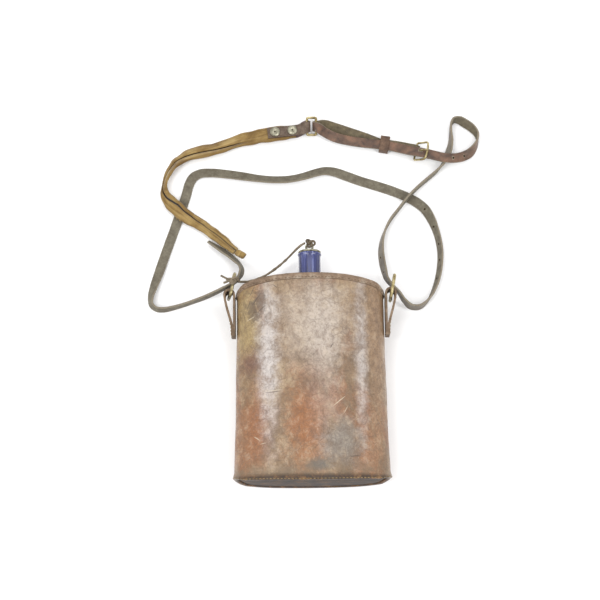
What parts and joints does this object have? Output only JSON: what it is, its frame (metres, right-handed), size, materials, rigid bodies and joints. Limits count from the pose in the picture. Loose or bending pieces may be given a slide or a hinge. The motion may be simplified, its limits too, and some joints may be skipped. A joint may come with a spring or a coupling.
{
  "type": "leather-cased canteen",
  "caption": "Flat oval enamelled canteen in a leather case, with a corked neck, stopper thong, D-rings and a buckled sling strap with a canvas shoulder piece.",
  "frame": {"origin": "middle of the flat back of the leather case, which lies on the plane z = 0", "axes": "+Z out of the front of the canteen, +Y along the flask towards the neck, +X towards the right D-ring"},
  "size_m": [0.3377, 0.3801, 0.0592],
  "materials": {
    "case_leather": "worn, waxed, brown",
    "welt_leather": "dark, scuffed edge",
    "strap_leather": "dry grey-brown",
    "patch_leather": "dark red-brown, polished by wear",
    "webbing": "tan folded canvas",
    "enamel": "dark blue gloss enamel on steel",
    "brass": "tarnished",
    "zinc": "dull grey-brown",
    "cork": "bare cork"
  },
  "bodies": {
    "case": {"case_wall": "case_leather", "top_band": "case_leather", "base_welt": "welt_leather", "case_base": "welt_leather", "case_top": "case_leather", "flask_shell": "enamel", "flask_neck": "enamel", "tab_left": "case_leather", "tab_right": "case_leather", "sling_strap": "strap_leather", "webbing_strap": "webbing", "webbing_roll": "webbing", "rivet_tab": "patch_leather", "shoulder_rivet_1": "zinc", "shoulder_rivet_2": "zinc", "stopper_thong": "strap_leather"},
    "stopper": {"stopper_cork": "cork", "stopper_disc": "zinc", "stopper_stem": "zinc", "stopper_washer": "zinc", "stopper_nut": "zinc", "thong_knot_top": "strap_leather"},
    "left_ring": {"ring_left": "brass", "thong_knot_ring": "strap_leather"},
    "right_ring": {"ring_right": "brass"},
    "strap_ring": {"square_ring": "brass"},
    "buckle": {"buckle_frame": "brass"},
    "tongue": {"buckle_tongue": "brass"},
    "keeper": {"strap_keeper": "patch_leather"}
  },
  "joints": [
    {"name": "stopper_pull", "type": "slide", "parent": "case", "child": "stopper", "axis": [0, 1, 0], "range_m": [0, 0.035], "deforming": ["stopper_thong"]},
    {"name": "left_ring_swing", "type": "hinge", "parent": "case", "child": "left_ring", "pos_m": [-0.0789, 0.0836, 0.031], "axis": [0.153, -0.0325, 0.9877], "range_deg": [-12, 35], "deforming": ["sling_strap", "stopper_thong"]},
    {"name": "right_ring_swing", "type": "hinge", "parent": "case", "child": "right_ring", "pos_m": [0.0788, 0.0804, 0.031], "axis": [0, 0, 1], "range_deg": [-35, 30], "deforming": ["sling_strap"]},
    {"name": "strap_ring_swing", "type": "hinge", "parent": "case", "child": "strap_ring", "pos_m": [-0.0005, 0.2697, 0.0098], "axis": [0, 0.809, 0.5878], "range_deg": [-12, 12], "deforming": ["sling_strap"]},
    {"name": "buckle_swing", "type": "hinge", "parent": "case", "child": "buckle", "pos_m": [0.1105, 0.2428, 0.0042], "axis": [0.225, 0.9744, 0], "range_deg": [-25, 12], "deforming": ["sling_strap"]},
    {"name": "tongue_swing", "type": "hinge", "parent": "buckle", "child": "tongue", "pos_m": [0.1105, 0.2428, 0.0042], "axis": [0.225, 0.9744, 0], "range_deg": [-60, 0], "deforming": ["sling_strap"]},
    {"name": "keeper_slide", "type": "slide", "parent": "case", "child": "keeper", "axis": [0.9848, -0.1736, 0], "range_m": [-0.006, 0.006], "deforming": ["sling_strap"]}
  ]
}
